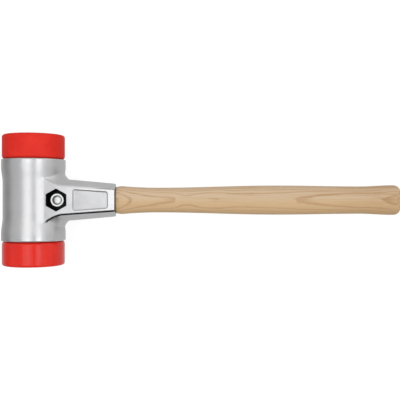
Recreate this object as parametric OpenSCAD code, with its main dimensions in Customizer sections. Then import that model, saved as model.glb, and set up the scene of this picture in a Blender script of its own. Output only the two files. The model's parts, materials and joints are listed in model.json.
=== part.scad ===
// Split-head paving hammer.
// Two cast half shells grip a pair of replaceable striking faces and a wooden
// handle, and one cap screw with its nut draws the shells together.
//
// The pieces are drawn in the hammer's own frame: the origin is where the head
// axis and the handle axis cross, X runs along the handle, Y along the head axis
// and Z square to the split between the shells, towards the front shell.
// lay() then sets the hammer down on its rear shell and the butt of the handle.

/* [Face inserts] */
// Diameter of the striking face
face_d = 80; // [70:0.5:92]
// Height of the insert outside the barrel
face_h = 31.75; // [20:0.25:45]
// Rounding round the striking face
face_edge_r = 3; // [1:0.25:5]
// Rounding of the edge that meets the barrel
collar_edge_r = 4.4; // [0.5:0.1:6]
// Diameter of the shank that the shells grip
shank_d = 62; // [50:0.5:66]
// Length of the shank inside the barrel
shank_len = 28; // [18:0.5:30]
// Lead-in chamfer on the end of the shank
shank_chamfer = 2; // [0.5:0.25:4]

/* [Barrel] */
// Diameter of the barrel at its two rims
barrel_d = 82; // [78:0.5:94]
// Diameter of the barrel at its waist
waist_d = 78; // [74:0.5:82]
// Length of the barrel between the rims
barrel_len = 106; // [100:0.5:130]
// Length of the slim middle of the barrel
waist_len = 44; // [20:1:60]
// Width of the full-diameter band at each rim
rim_band = 9; // [4:0.5:14]
// Rounding of the rims
rim_r = 1.8; // [0.5:0.1:3]
// Gap between the two shells when they are clamped
split_gap = 1.6; // [0.6:0.1:3]
// Thickness of the web behind each shank
web_t = 5; // [3:0.25:7]

/* [Neck] */
// Distance from the head axis to the end of the neck
neck_reach = 107; // [95:0.5:130]
// Width of the neck at the split, where it leaves the barrel
neck_w_root = 55.6; // [50:0.2:64]
// Width of the neck at the split, at its end
neck_w_end = 44.2; // [40:0.2:52]
// Width of the flat on the neck, where it leaves the barrel
flat_w_root = 39.4; // [36:0.2:44]
// Width of the flat on the neck, at its end
flat_w_end = 30.4; // [28:0.2:36]
// Thickness of the neck at its end
neck_t_end = 40; // [36:0.5:46]
// Fillet between the barrel and the side of the neck, at the split
root_fillet_r = 7; // [4:0.5:12]
// Distance from the head axis to where the flat leaves the barrel
flat_at = 17.8; // [15:0.2:22]
// Radius of the edges of the flat where they spread out to the barrel
flat_fillet_r = 32; // [24:0.5:38]
// Angle by which the edges of the flat turn before they reach the barrel
flat_turn = 43; // [30:1:55]
// Rounding along the edges of the flat
flat_edge_r = 2.6; // [0.8:0.1:3]
// Rounding of the end of the neck
neck_end_r = 1.6; // [0.5:0.1:3]

/* [Panel] */
// Length of the sunk panel on the flat
panel_len = 44.5; // [20:0.5:46]
// Distance from the end of the neck to the panel
panel_margin = 8.4; // [4:0.1:10]
// Width of the border between the panel and the edge of the flat
panel_border = 4.6; // [3:0.1:7]
// Depth of the panel
panel_depth = 1.2; // [0.5:0.1:2]
// Rounding of the corners of the panel
panel_corner_r = 2.4; // [0.8:0.1:4]

/* [Clamp screw] */
// Distance from the head axis to the screw
screw_at = 34.2; // [33:0.1:38]
// Nominal diameter of the screw
screw_d = 12; // [10:0.25:12.5]
// Clearance hole for the screw
screw_hole_d = 13; // [12.6:0.1:14.5]
// Diameter of the screw head
head_d = 18; // [16:0.5:21]
// Height of the screw head
head_h = 7; // [5:0.25:8]
// Width across flats of the key socket
key_af = 10; // [6:0.5:11]
// Depth of the key socket
key_depth = 5; // [4.2:0.1:5.5]
// Length of screw that stands out of the nut
screw_tip = 1.8; // [0.5:0.1:3]
// Width across flats of the pocket over the screw head
pocket_af = 25; // [24.8:0.1:27]
// Metal between the split and the floor of each pocket
clamp_boss = 13.55; // [12:0.05:15]
// Diameter of the washer
washer_d = 24; // [20:0.25:24.5]
// Thickness of the washer
washer_t = 2.5; // [1.5:0.1:3]
// Width across flats of the nut
nut_af = 19; // [18:0.25:21]
// Height of the nut with its locking collar
nut_h = 12; // [10.5:0.25:13]
// Height of the locking collar on the nut
collar_h = 3.2; // [2:0.1:4]
// Wall of the locking collar round its ring
collar_wall = 1.1; // [0.6:0.1:1.4]

/* [Handle] */
// Distance from the head axis to the end of the butt
handle_reach = 486.5; // [440:0.5:560]
// Width of the tenon in the neck
tenon_w = 29; // [24:0.25:30]
// Thickness of the tenon in the neck
tenon_t = 20; // [16:0.25:21.5]
// Rounding along the tenon
tenon_corner_r = 5; // [2:0.25:8]
// Distance from the head axis to the end of the tenon
tenon_at = 50; // [46:0.5:56]
// Width of the key at the end of the tenon, which the closed shells hold
tenon_key_w = 34; // [31:0.25:36]
// Thickness of the key
tenon_key_t = 22; // [21:0.25:24]
// Length of the key
tenon_key_len = 8; // [5:0.5:12]
// Width of the handle at its shoulder
shoulder_w = 38.5; // [36:0.25:42]
// Thickness of the handle at its shoulder
shoulder_t = 31.5; // [30:0.25:36]
// Rounding of the shoulder against the neck
shoulder_r = 4; // [2:0.25:5]
// Distance from the head axis to the slim part of the handle
slim_at = 161; // [150:1:200]
// Width of the slim part
slim_w = 32.6; // [28:0.2:38]
// Thickness of the slim part
slim_t = 27; // [22:0.2:32]
// Distance from the head axis to the swell of the grip
swell_at = 321; // [290:1:350]
// Width of the swell
swell_w = 38.8; // [34:0.2:46]
// Thickness of the swell
swell_t = 31.5; // [26:0.2:38]
// Distance from the head axis to the narrow part behind the swell
wrist_at = 432; // [390:1:440]
// Width of the narrow part behind the swell
wrist_w = 36.6; // [32:0.2:44]
// Thickness of the narrow part behind the swell
wrist_t = 29.5; // [24:0.2:36]
// Width of the butt
butt_w = 40; // [36:0.2:48]
// Thickness of the butt
butt_t = 33; // [30:0.2:40]
// Rounding of the end of the butt
butt_r = 8.6; // [6:0.2:14]

/* [Hidden] */

$fn = 96;

// Clearances
shank_clear = 0.1;      // shank to bore, on the radius
shank_end_clear = 0.5;  // end of the shank to the web
tenon_clear = 0.15;     // tenon to socket, each side
shoulder_clear = 0.3;   // shoulder of the handle to the neck
thread_clear = 0.05;    // screw to nut, on the radius
nut_clear = 0.15;       // nut to its pocket, each side
ring_clear = 0.02;      // locking ring to its collar, on the radius

// Steps along curves
barrel_steps = 8;       // steps from the waist to a rim band
round_steps = 5;        // steps round a small edge
handle_sides = 40;      // points round a section of the handle
handle_squareness = 2.4; // exponent of the handle's oval: 2 is an ellipse

// Flat of the neck: a plane from the waist of the barrel to the end of the neck
flat_start_z = sqrt(pow(waist_d / 2, 2) - pow(flat_at, 2));
flat_fall = (flat_start_z - neck_t_end / 2) / (neck_reach - flat_at);
flat_slope = atan(flat_fall);
function flat_z(x) = flat_start_z - flat_fall * (x - flat_at);
wall_sink = 0.8;        // how far the fillets of the neck start inside the barrel

// Levels along the screw, measured from the split
pocket_floor = split_gap / 2 + clamp_boss;
head_seat = pocket_floor + washer_t;
screw_end = -(pocket_floor + nut_h + screw_tip);

// Bore for a shank and the core between the two bores
bore_r = shank_d / 2 + shank_clear;
bore_floor = barrel_len / 2 - shank_len - shank_end_clear;
core_half = bore_floor - web_t;
core_r = bore_r;
core_wall = 8;           // metal between the core and the pocket of the screw
screw_core_at = screw_at - pocket_af / 2 - core_wall / 2; // start of the hollow round the screw

// The hammer lies on its larger round and on the round of the butt
rest_r = max(barrel_d, face_d) / 2;
butt_centre = [handle_reach - butt_r, butt_t / 2 - butt_r];
lay_angle = asin((rest_r - butt_r) / norm(butt_centre)) - atan2(butt_centre.y, butt_centre.x);
lay_right = butt_centre.x * cos(lay_angle) + butt_centre.y * sin(lay_angle) + butt_r;
lay_mid = (lay_right - rest_r) / 2;

far = 400;  // longer than any piece that is cut

function mix(a, b, t) = a + (b - a) * t;
function ease(t) = (1 - cos(180 * t)) / 2;
function limit(t) = max(0, min(1, t));

// Sets the hammer down: the middle of its outline over the origin
module lay() {
    translate([-lay_mid, 0, rest_r]) rotate([0, lay_angle, 0]) children();
}

// A solid skinned over rings that have the same number of points
module loft(rings) {
    count = len(rings[0]);
    last = len(rings) - 1;
    polyhedron(
        points = [for (ring = rings) each ring],
        faces = concat(
            [[for (i = [0 : count - 1]) i]],
            [[for (i = [0 : count - 1]) last * count + count - 1 - i]],
            [for (k = [0 : last - 1], i = [0 : count - 1])
                let (a = k * count + i, b = k * count + (i + 1) % count)
                each [[a, a + count, b], [b, a + count, b + count]]]
        )
    );
}

// Turned solids: a profile of [radius, height] points, turned about the head axis
module turned(profile) {
    rotate([-90, 0, 0]) rotate_extrude() polygon(profile);
}

// Points of a round from one direction to another
function round_points(centre, r, from, to, steps = round_steps) =
    [for (i = [0 : steps]) let (a = mix(from, to, i / steps)) centre + r * [cos(a), sin(a)]];

// Hexagonal prism with two corners on the Y axis
module hex_prism(af, from, to) {
    translate([0, 0, from]) rotate(30) cylinder(d = af / cos(30), h = to - from, $fn = 6);
}

// Barrel

function barrel_r(y) =
    let (from = waist_len / 2, to = barrel_len / 2 - rim_band)
    mix(waist_d, barrel_d, ease(limit((abs(y) - from) / (to - from)))) / 2;

module barrel() {
    half = barrel_len / 2;
    band = half - rim_band;
    slope = [for (i = [0 : barrel_steps]) mix(waist_len / 2, band, i / barrel_steps)];
    upper = concat(
        [for (y = slope) [barrel_r(y), y]],
        round_points([barrel_d / 2 - rim_r, half - rim_r], rim_r, 0, 90)
    );
    count = len(upper);
    lower = [for (i = [count - 1 : -1 : 0]) [upper[i].x, -upper[i].y]];
    turned(concat([[0, -half]], lower, upper, [[0, half]]));
}

// Neck

function along_neck(x) = (x - barrel_d / 2) / (neck_reach - barrel_d / 2);
function neck_half_w(x) = mix(neck_w_root, neck_w_end, along_neck(x)) / 2;
function flat_half_w(x) = mix(flat_w_root, flat_w_end, along_neck(x)) / 2;

// How far a fillet of radius r stands out, at a distance u from the wall it starts at
function flare(u, r) = u >= r ? 0 : r - sqrt(r * r - pow(r - max(u, 0), 2));

// Levels up the side of the neck, as shares of its height, from the split to the flat
neck_levels = [0, 0.3, 0.55, 0.75, 0.9, 1];
neck_straight = neck_reach - neck_end_r;
neck_draft = atan((neck_w_end - flat_w_end) / neck_t_end);
edge_drop = flat_edge_r * (1 - sin(neck_draft));
function fillet_r(t) = mix(root_fillet_r, flat_fillet_r, t);
function fillet_from(t) = mix(0, 90 - flat_turn, t);
function fillet_len(t) = fillet_r(t) * cos(fillet_from(t));
function neck_w(x, t) = mix(neck_half_w(x), flat_half_w(x), t);
function side_z(x, t) = t * (flat_z(x) - edge_drop);

// Where the side of the neck starts from the barrel, at one level
function wall_x(t) =
    let (
        start = flat_z(0) - edge_drop,
        reach = mix(neck_w_root, flat_w_root, t) / 2 + fillet_r(t) * (1 - sin(fillet_from(t))),
        r = barrel_r(reach) - wall_sink,
        p = 1 + t * t * flat_fall * flat_fall,
        q = t * t * start * flat_fall
    )
    (sqrt(q * q - p * (t * t * start * start - r * r)) + q) / p;

// Closes one side of a section: down past the split, and round the edge of the flat.
// facing is the way the side looks in plan
function neck_side(side, facing) =
    let (
        top = side[len(side) - 1],
        centre = [top.x, top.y] - flat_edge_r * cos(neck_draft) * facing
    )
    concat(
        [[side[0].x, side[0].y, -1]],
        side,
        [for (i = [1 : 4])
            let (a = mix(neck_draft, 90, i / 4), p = centre + flat_edge_r * cos(a) * facing)
            [p.x, p.y, flat_z(p.x) - flat_edge_r * (1 - sin(a))]]
    );

// A side within the fillets, from the barrel (share 0) to the straight neck (share 1)
function fillet_side(share) =
    let (edge_a = mix(fillet_from(1), 90, share))
    neck_side(
        [for (t = neck_levels)
            let (
                r = fillet_r(t),
                a = mix(fillet_from(t), 90, share),
                x = wall_x(t) + fillet_len(t) - r * cos(a)
            )
            [x, neck_w(x, t) + r * (1 - sin(a)), side_z(x, t)]],
        [cos(edge_a), sin(edge_a)]);

// A side of the straight neck
function straight_side(share) = neck_side(
    [for (t = neck_levels)
        let (x = mix(wall_x(t) + fillet_len(t), neck_straight, share))
        [x, neck_w(x, t), side_z(x, t)]],
    [0, 1]);

// How much of the height of the flat a point has
function height_share(p) = limit(p.z / flat_z(p.x));

// A side within the rounded end of the neck
function end_side(a) =
    let (
        x = neck_straight + neck_end_r * sin(a),
        inset = neck_end_r * (1 - cos(a)),
        side = neck_side([for (t = neck_levels) [x, neck_w(x, t), side_z(x, t)]], [0, 1])
    )
    [for (p = side) [p.x, p.y - inset, p.z - inset * height_share(p)]];

// The side that closes the neck inside the barrel
function inner_side() =
    let (x = flat_at / 2)
    [for (p = fillet_side(0)) [x, p.y, p.z + (flat_z(x) - flat_z(p.x)) * height_share(p)]];

function both_sides(side) =
    concat(side, [for (i = [len(side) - 1 : -1 : 0]) [side[i].x, -side[i].y, side[i].z]]);

module neck() {
    sides = concat(
        [inner_side()],
        [for (i = [0 : 6]) fillet_side(i / 6)],
        [for (i = [1 : 4]) straight_side(i / 4)],
        [for (a = [30 : 30 : 90]) end_side(a)]
    );
    loft([for (side = sides) both_sides(side)]);
}

// Panel: a four-sided recess that follows the taper of the flat

function rounded_corner(p, before, after, r) =
    let (
        to_before = (before - p) / norm(before - p),
        to_after = (after - p) / norm(after - p),
        half = acos(to_before * to_after) / 2,
        middle = (to_before + to_after) / norm(to_before + to_after),
        centre = p + middle * r / sin(half),
        start = atan2(-middle.y, -middle.x)
    )
    round_points(centre, r, start - (90 - half), start + (90 - half));

module panel() {
    right = neck_reach - panel_margin;
    left = right - panel_len;
    corners = [
        [left, -flat_half_w(left) + panel_border], [right, -flat_half_w(right) + panel_border],
        [right, flat_half_w(right) - panel_border], [left, flat_half_w(left) - panel_border]
    ];
    outline = [for (i = [0 : 3])
        each rounded_corner(corners[i], corners[(i + 3) % 4], corners[(i + 1) % 4], panel_corner_r)];
    translate([0, 0, flat_z(0)]) rotate([0, flat_slope, 0]) translate([0, 0, -panel_depth])
        linear_extrude(far) polygon([for (p = outline) [p.x / cos(flat_slope), p.y]]);
}

// Shells

// A bar along the handle with rounded long edges
module tenon_bar(w, t, r, from, to) {
    translate([from, 0, 0]) rotate([90, 0, 90]) linear_extrude(to - from) {
        square([w - 2 * r, t], center = true);
        square([w, t - 2 * r], center = true);
        for (x = [-1, 1], y = [-1, 1])
            translate([x * (w / 2 - r), y * (t / 2 - r)]) circle(r);
    }
}

// The tenon and its key, grown all round by a clearance
module tenon(grow, to) {
    key_end = tenon_at + tenon_key_len;
    r = tenon_corner_r + grow;
    tenon_bar(tenon_w + 2 * grow, tenon_t + 2 * grow, r, key_end - 2, to);
    tenon_bar(tenon_key_w + 2 * grow, tenon_key_t + 2 * grow, r, tenon_at - grow, key_end + grow);
}

// The casting that both shells share, open for the inserts, the tenon and the screw
module shell() {
    difference() {
        union() {
            barrel();
            neck();
        }
        translate([-far / 2, -far / 2, split_gap / 2 - far]) cube(far);
        for (side = [-1, 1])
            rotate([-90 * side, 0, 0]) translate([0, 0, bore_floor]) cylinder(r = bore_r, h = barrel_len);
        difference() {
            rotate([-90, 0, 0]) cylinder(r = core_r, h = 2 * core_half, center = true);
            translate([screw_at - pocket_af / 2 - core_wall, -far / 2, -far / 2]) cube(far);
        }
        tenon(tenon_clear, neck_reach + 1);
        tenon_bar(tenon_w, tenon_t, tenon_corner_r, screw_core_at, tenon_at + tenon_key_len / 2);
        translate([screw_at, 0, 0]) cylinder(d = screw_hole_d, h = barrel_d);
        panel();
    }
}

module front_housing_half() {
    color("silver") lay() difference() {
        shell();
        translate([screw_at, 0, 0]) hex_prism(pocket_af, pocket_floor, barrel_d);
    }
}

module rear_housing_half() {
    color("silver") lay() mirror([0, 0, 1]) difference() {
        shell();
        translate([screw_at, 0, 0]) hex_prism(nut_af + 2 * nut_clear, pocket_floor, barrel_d);
    }
}

// Face inserts

module face_insert() {
    seat = barrel_len / 2;
    face = seat + face_h;
    shank_end = seat - shank_len;
    turned(concat(
        [[0, shank_end], [shank_d / 2 - shank_chamfer, shank_end], [shank_d / 2, shank_end + shank_chamfer]],
        [[shank_d / 2, seat]],
        round_points([face_d / 2 - collar_edge_r, seat + collar_edge_r], collar_edge_r, -90, 0),
        round_points([face_d / 2 - face_edge_r, face - face_edge_r], face_edge_r, 0, 90),
        [[0, face]]
    ));
}

module upper_face_insert() {
    color([0.86, 0.16, 0.11]) lay() face_insert();
}

module lower_face_insert() {
    color([0.86, 0.16, 0.11]) lay() mirror([0, 1, 0]) face_insert();
}

// Handle

handle_start = neck_reach + shoulder_clear;

// A measure along the handle from its values at the shoulder, slim part, swell, wrist and butt
function handle_size(x, shoulder, slim, swell, wrist, butt) =
    let (butt_at = handle_reach - butt_r)
    x < slim_at ? mix(slim, shoulder, pow(1 - (x - handle_start) / (slim_at - handle_start), 2))
    : x < swell_at ? mix(slim, swell, ease((x - slim_at) / (swell_at - slim_at)))
    : x < wrist_at ? mix(swell, wrist, ease((x - swell_at) / (wrist_at - swell_at)))
    : mix(wrist, butt, ease(limit((x - wrist_at) / (butt_at - wrist_at))));

// How far the surface is drawn in at the rounded shoulder and butt
function handle_inset(x) =
    flare(x - handle_start, shoulder_r) + flare(handle_reach - x, butt_r);

function handle_ring(x) =
    let (
        inset = handle_inset(x),
        half_w = handle_size(x, shoulder_w, slim_w, swell_w, wrist_w, butt_w) / 2 - inset,
        half_t = handle_size(x, shoulder_t, slim_t, swell_t, wrist_t, butt_t) / 2 - inset,
        power = 2 / handle_squareness
    )
    [for (i = [0 : handle_sides - 1])
        let (a = 360 * i / handle_sides, c = cos(a), s = sin(a))
        [x, half_w * sign(c) * pow(abs(c), power), half_t * sign(s) * pow(abs(s), power)]];

module handle() {
    shoulder_end = handle_start + shoulder_r;
    butt_start = handle_reach - butt_r;
    stations = concat(
        [for (a = [0 : 30 : 60]) handle_start + shoulder_r * (1 - cos(a))],
        [for (i = [0 : 6]) mix(shoulder_end, slim_at, i / 6)],
        [for (i = [1 : 10]) mix(slim_at, swell_at, i / 10)],
        [for (i = [1 : 6]) mix(swell_at, wrist_at, i / 6)],
        [for (i = [1 : 5]) mix(wrist_at, butt_start, i / 5)],
        [for (a = [15 : 15 : 90]) butt_start + butt_r * sin(a)]
    );
    color("burlywood") lay() {
        loft([for (x = stations) handle_ring(x)]);
        tenon(0, shoulder_end);
    }
}

// Screw, washer and nut

module clamp_screw() {
    head_top = head_seat + head_h;
    head_edge = 1;
    tip_chamfer = 1.2;
    color("gainsboro") lay() translate([screw_at, 0, 0]) difference() {
        rotate_extrude() polygon([
            [0, screw_end], [screw_d / 2 - tip_chamfer, screw_end], [screw_d / 2, screw_end + tip_chamfer],
            [screw_d / 2, head_seat], [head_d / 2, head_seat], [head_d / 2, head_top - head_edge],
            [head_d / 2 - head_edge, head_top], [0, head_top]
        ]);
        hex_prism(key_af, head_top - key_depth, head_top + 1);
    }
}

module clamp_washer() {
    color([0.12, 0.12, 0.13]) lay() translate([screw_at, 0, pocket_floor]) difference() {
        cylinder(d = washer_d, h = washer_t);
        translate([0, 0, -1]) cylinder(d = screw_hole_d, h = washer_t + 2);
    }
}

// The nut, its open collar outermost, on the axis of the screw and facing up
module nut_blank() {
    collar_r = nut_af / 2 - 1;
    hex_h = nut_h - collar_h;
    chamfer = nut_af / 2 / cos(30) - nut_af / 2;
    intersection() {
        hex_prism(nut_af, 0, hex_h);
        cylinder(r1 = nut_af / 2 / cos(30) + hex_h, r2 = nut_af / 2 / cos(30) - chamfer / 2, h = hex_h);
    }
    translate([0, 0, hex_h / 2]) cylinder(r = collar_r, h = hex_h / 2 + collar_h);
}

ring_r = nut_af / 2 - 1 - collar_wall;
ring_h = collar_h - 0.8;
nut_bore_r = screw_d / 2 + thread_clear;

module clamp_nut() {
    color("gainsboro") lay() translate([screw_at, 0, -pocket_floor]) mirror([0, 0, 1]) difference() {
        nut_blank();
        translate([0, 0, -1]) cylinder(r = nut_bore_r, h = nut_h + 2);
        translate([0, 0, nut_h - ring_h]) cylinder(r = ring_r, h = ring_h + 1);
    }
}

module nut_locking_ring() {
    color("steelblue") lay() translate([screw_at, 0, -pocket_floor - nut_h]) difference() {
        cylinder(r = ring_r - ring_clear, h = ring_h);
        translate([0, 0, -1]) cylinder(r = nut_bore_r, h = ring_h + 2);
    }
}

front_housing_half();
rear_housing_half();
upper_face_insert();
lower_face_insert();
handle();
clamp_screw();
clamp_washer();
clamp_nut();
nut_locking_ring();
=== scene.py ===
"""Paving hammer on a white studio table.

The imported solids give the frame. Each class rebuilds one sub-assembly of the hammer with fine
meshes and dresses it. Sizes are in millimetres in the hammer's own frame, which starts in the
middle of the head: X runs along the handle, Y along the head, Z from the split to the front.
"""

import json
import logging
import math
from bisect import bisect
from collections.abc import Sequence
from dataclasses import dataclass, field
from enum import Enum
from typing import Any

import bmesh
import bpy
import numpy as np
from mathutils import Matrix, Vector


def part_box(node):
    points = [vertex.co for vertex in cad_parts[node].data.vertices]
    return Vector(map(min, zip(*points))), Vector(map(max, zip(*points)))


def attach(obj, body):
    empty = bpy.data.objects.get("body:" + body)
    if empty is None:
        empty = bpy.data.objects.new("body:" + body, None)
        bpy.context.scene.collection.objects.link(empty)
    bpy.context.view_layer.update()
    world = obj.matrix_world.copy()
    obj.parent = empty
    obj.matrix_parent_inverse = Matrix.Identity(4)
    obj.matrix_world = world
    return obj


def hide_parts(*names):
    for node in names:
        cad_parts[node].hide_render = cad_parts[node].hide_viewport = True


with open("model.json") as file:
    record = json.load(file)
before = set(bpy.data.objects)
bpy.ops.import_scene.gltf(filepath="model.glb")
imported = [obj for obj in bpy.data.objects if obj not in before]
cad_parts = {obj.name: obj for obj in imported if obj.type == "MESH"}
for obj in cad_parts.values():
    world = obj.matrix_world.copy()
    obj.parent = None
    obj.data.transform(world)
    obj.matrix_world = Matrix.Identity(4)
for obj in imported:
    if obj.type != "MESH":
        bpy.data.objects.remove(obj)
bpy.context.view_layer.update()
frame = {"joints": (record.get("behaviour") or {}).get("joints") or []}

LOG = logging.getLogger("paving_hammer")
MM = 0.001
SAME_PLACE = 0.000003
MOST_OF_NOISE = (0.3, 0.7)
Corner = tuple[float, float, float]
Colour = tuple[float, float, float]
Span = tuple[float, float]
Piece = bpy.types.Object
Socket = bpy.types.NodeSocket


class Cut(Enum):
    """What one mesh does to another."""

    AWAY = "DIFFERENCE"
    SHARED = "INTERSECT"
    JOINED = "UNION"


class End(Enum):
    """The two ends of the head."""

    UPPER = 1
    LOWER = -1


class Half(Enum):
    """The two shells of the head."""

    FRONT = 1
    REAR = -1


def lay_matrix() -> Matrix:
    """Finds where the hammer's own frame lies on the table.

    Returns:
        The matrix from the hammer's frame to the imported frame.
    """
    low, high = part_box("upper_face_insert")
    opening = next(j for j in frame["joints"] if j["name"] == "clamp_open")
    up = Vector(opening["axis"]).normalized()
    across = Vector((0.0, 1.0, 0.0))
    lay = Matrix((across.cross(up), across, up)).transposed().to_4x4()
    lay.translation = ((low.x + high.x) / 2, 0.0, (low.z + high.z) / 2)
    return lay


LAY = lay_matrix()


def mix(a: Any, b: Any, share: Any) -> Any:
    """Goes from a to b by a share."""
    return a + (b - a) * share


def ease(share: Any) -> Any:
    """Starts and ends a change from 0 to 1 gently."""
    return (1 - np.cos(np.pi * np.clip(share, 0, 1))) / 2


def round_over(a: np.ndarray, b: np.ndarray, r: float) -> np.ndarray:
    """Keeps what two distances share, with its edge rounded.

    Args:
        a: Signed distances from one surface, negative inside.
        b: Signed distances from the other.
        r: Radius of the edge.

    Returns:
        Signed distances from the common part.
    """
    reach = np.hypot(np.maximum(a + r, 0), np.maximum(b + r, 0))
    return np.minimum(-r, np.maximum(a, b)) + reach


def fillet_in(a: np.ndarray, b: np.ndarray, r: float) -> np.ndarray:
    """Joins two distances, with the inner corner filled.

    Args:
        a: Signed distances from one surface, negative inside.
        b: Signed distances from the other.
        r: Size of the fillet.

    Returns:
        Signed distances from the joined part.
    """
    reach = np.hypot(np.maximum(r - a, 0), np.maximum(r - b, 0))
    return np.maximum(r, np.minimum(a, b)) - reach


def soften(corners: Sequence[Corner], closed: bool = False, steps: int = 6) -> np.ndarray:
    """Rounds the corners of a profile.

    Args:
        corners: Two coordinates and a radius for each corner.
        closed: Whether the last corner joins the first.
        steps: Steps round each corner.

    Returns:
        The points of the profile, one row each.
    """
    points: list[np.ndarray] = []
    count = len(corners)
    for i, (u, v, r) in enumerate(corners):
        here = np.array((u, v))
        if r <= 0 or (not closed and i in (0, count - 1)):
            points.append(here)
            continue
        before = np.array(corners[i - 1][:2]) - here
        after = np.array(corners[(i + 1) % count][:2]) - here
        before /= np.linalg.norm(before)
        after /= np.linalg.norm(after)
        half = math.acos(float(np.clip(before @ after, -1, 1))) / 2
        middle = (before + after) / np.linalg.norm(before + after)
        centre = here + middle * r / math.sin(half)
        start = here + before * r / math.tan(half) - centre
        turn = math.pi - 2 * half
        if before[0] * after[1] - before[1] * after[0] > 0:
            turn = -turn
        first = math.atan2(start[1], start[0])
        for k in range(steps + 1):
            a = first + turn * k / steps
            points.append(centre + r * np.array((math.cos(a), math.sin(a))))
    return np.array(points)


@dataclass
class Blank:
    """A closed mesh in millimetres, before it becomes a piece."""

    points: np.ndarray
    faces: list[Sequence[int]]

    def moved(self, x: float = 0.0, y: float = 0.0, z: float = 0.0) -> "Blank":
        """Returns the blank at another place."""
        return Blank(self.points + np.array((x, y, z)), self.faces)

    def along_head(self, end: End) -> "Blank":
        """Lays the blank's own axis along the head.

        Args:
            end: End of the head that it points to.

        Returns:
            The turned blank.
        """
        x, y, z = self.points.T
        sign = end.value
        return Blank(np.stack((x, sign * z, -sign * y), axis=1), self.faces)

    def mirrored(self) -> "Blank":
        """Returns the blank on the other side of the split."""
        return Blank(self.points * (1, 1, -1), [tuple(reversed(f)) for f in self.faces])

    def piece(self, name: str) -> Piece:
        """Makes the blank an object.

        Args:
            name: Name of the piece.

        Returns:
            The object, with its mesh in metres in the hammer's own frame.
        """
        mesh = bpy.data.meshes.new(name)
        mesh.from_pydata((self.points * MM).tolist(), [], [tuple(f) for f in self.faces])
        mesh.update()
        made = bpy.data.objects.new(name, mesh)
        bpy.context.scene.collection.objects.link(made)
        return made


def band(first: Sequence[int], second: Sequence[int]) -> list[Sequence[int]]:
    """Joins two rings of points with faces.

    Args:
        first: Places of the points of one ring, or of the one point where it ends.
        second: The same for the next ring.

    Returns:
        The faces between the rings.
    """
    count = max(len(first), len(second))
    faces: list[Sequence[int]] = []
    for i in range(count):
        k = (i + 1) % count
        if len(first) == 1:
            faces.append((first[0], second[k], second[i]))
        elif len(second) == 1:
            faces.append((first[i], first[k], second[0]))
        else:
            faces.append((first[i], first[k], second[k], second[i]))
    return faces


def ringed(rings: Sequence[np.ndarray], capped: bool = False, looped: bool = False) -> Blank:
    """Skins a row of rings.

    Args:
        rings: Points of each ring, or a single point where the skin closes.
        capped: Whether the first and last ring are closed by flat faces.
        looped: Whether the last ring joins the first.

    Returns:
        The closed mesh.
    """
    starts = np.cumsum([0] + [len(r) for r in rings])
    places = [range(starts[i], starts[i + 1]) for i in range(len(rings))]
    faces: list[Sequence[int]] = []
    for first, second in zip(places, places[1:]):
        faces += band(first, second)
    if looped:
        faces += band(places[-1], places[0])
    if capped:
        faces.append(tuple(reversed(places[0])))
        faces.append(tuple(places[-1]))
    return Blank(np.concatenate(rings), faces)


def circle(r: Any, height: float, angles: np.ndarray) -> np.ndarray:
    """Draws a ring about Z.

    Args:
        r: One radius, or one for each direction.
        height: Height of the ring.
        angles: Directions of its points.

    Returns:
        The points of the ring.
    """
    return np.stack((r * np.cos(angles), r * np.sin(angles), np.full(len(angles), height)), axis=1)


def turned(profile: np.ndarray, sides: int = 96, looped: bool = False) -> Blank:
    """Turns a profile about Z.

    Args:
        profile: Radius and height of each point, from the bottom round the outside to the top.
        sides: Points round the axis.
        looped: Whether the profile closes on itself, as a ring's does.

    Returns:
        The turned mesh.
    """
    angles = np.linspace(0, 2 * np.pi, sides, endpoint=False)
    rings = []
    for r, h in profile:
        if r < 1e-6:
            rings.append(np.array(((0.0, 0.0, h),)))
        else:
            rings.append(circle(r, h, angles))
    return ringed(rings, looped=looped)


def solid(*points: Span) -> np.ndarray:
    """Closes a profile onto the axis at both ends.

    Args:
        *points: Radius and height of each point off the axis, from the bottom up.

    Returns:
        The profile of a turned solid.
    """
    return np.array(((0.0, points[0][1]), *points, (0.0, points[-1][1])))


def hoop(radii: Span, heights: Span, edges: Sequence[float], steps: int, sides: int) -> Blank:
    """Turns a flat ring with rounded edges.

    Args:
        radii: Inner and outer radius.
        heights: Bottom and top.
        edges: Radii of its edges, from the lower inner one round the outside.
        steps: Steps round each edge.
        sides: Points round the axis.

    Returns:
        The ring.
    """
    (inner, outer), (low, high) = radii, heights
    corners = ((inner, low), (outer, low), (outer, high), (inner, high))
    profile = [(r, h, edge) for (r, h), edge in zip(corners, edges)]
    return turned(soften(profile, closed=True, steps=steps), sides, looped=True)


def level(outline: np.ndarray, height: Any) -> np.ndarray:
    """Puts a flat outline at a height.

    Args:
        outline: Points in X and Y.
        height: One height, or one for each point.

    Returns:
        The points in space.
    """
    return np.column_stack((outline, np.broadcast_to(height, len(outline))))


def hexagon(across_flats: float, corner_r: float = 0.0) -> np.ndarray:
    """Draws a hexagon with two corners on the Y axis.

    Args:
        across_flats: Distance between opposite sides.
        corner_r: Radius of its corners.

    Returns:
        Its outline in X and Y.
    """
    r = across_flats / math.sqrt(3)
    angles = [math.radians(30 + 60 * k) for k in range(6)]
    return soften([(r * math.cos(a), r * math.sin(a), corner_r) for a in angles], closed=True)


def clean(mesh: bpy.types.Mesh) -> None:
    """Takes out the slivers that a cut leaves where two faces barely meet.

    Args:
        mesh: The mesh, which is changed.
    """
    work = bmesh.new()
    work.from_mesh(mesh)
    bmesh.ops.remove_doubles(work, verts=work.verts, dist=SAME_PLACE)
    bmesh.ops.dissolve_degenerate(work, edges=work.edges, dist=SAME_PLACE)
    work.to_mesh(mesh)
    work.free()


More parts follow.
